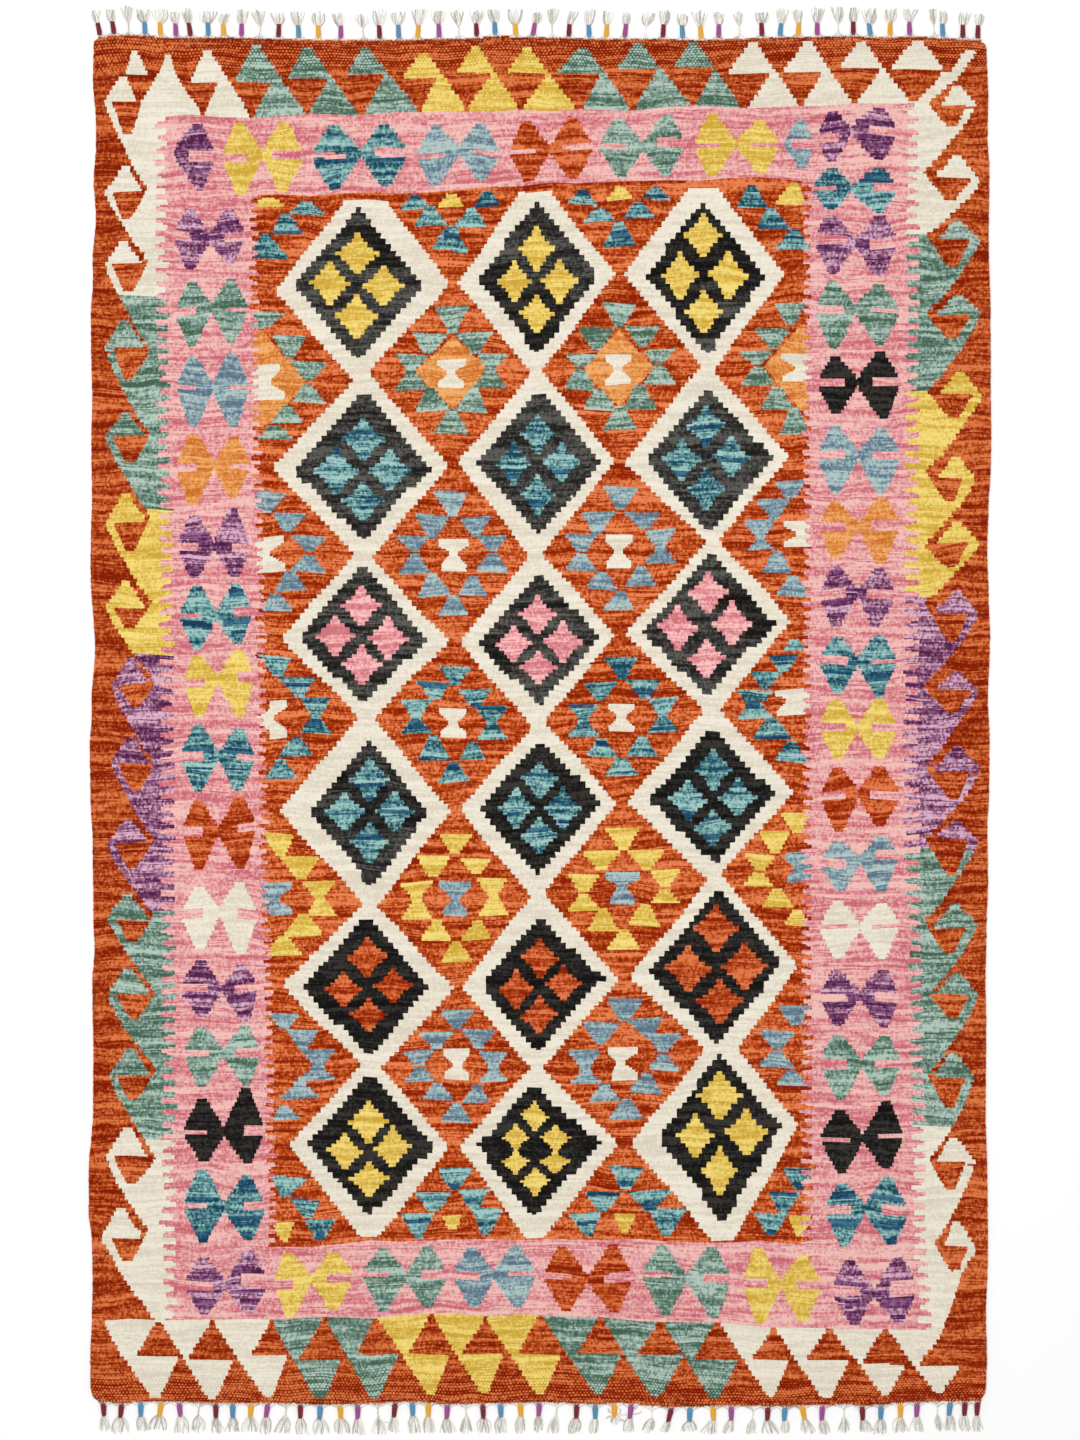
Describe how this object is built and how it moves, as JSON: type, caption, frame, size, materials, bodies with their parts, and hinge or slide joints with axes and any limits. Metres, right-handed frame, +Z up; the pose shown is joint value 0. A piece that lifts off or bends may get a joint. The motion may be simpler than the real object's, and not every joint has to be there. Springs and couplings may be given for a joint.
{
  "type": "kilim rug",
  "caption": "Flat-woven wool kilim rug lying flat, with stepped lozenges, hooked borders and a fringe of wrapped tassels at each end.",
  "frame": {"origin": "middle of the underside, on the surface that the rug lies on", "axes": "+X across the rug to the right, +Y along the rug towards its upper end, +Z up"},
  "size_m": [1.2272, 1.9406, 0.0048],
  "materials": {
    "kilim_wool": "weft-faced flat weave in hand-spun wool, streaked madder orange ground with many colours",
    "fringe_cotton": "twisted off-white cotton warp ends, with wool wraps round most of the tassel necks"
  },
  "bodies": {
    "root": {"rug_cloth": "kilim_wool", "fringe_upper": "fringe_cotton", "fringe_lower": "fringe_cotton"}
  },
  "joints": []
}
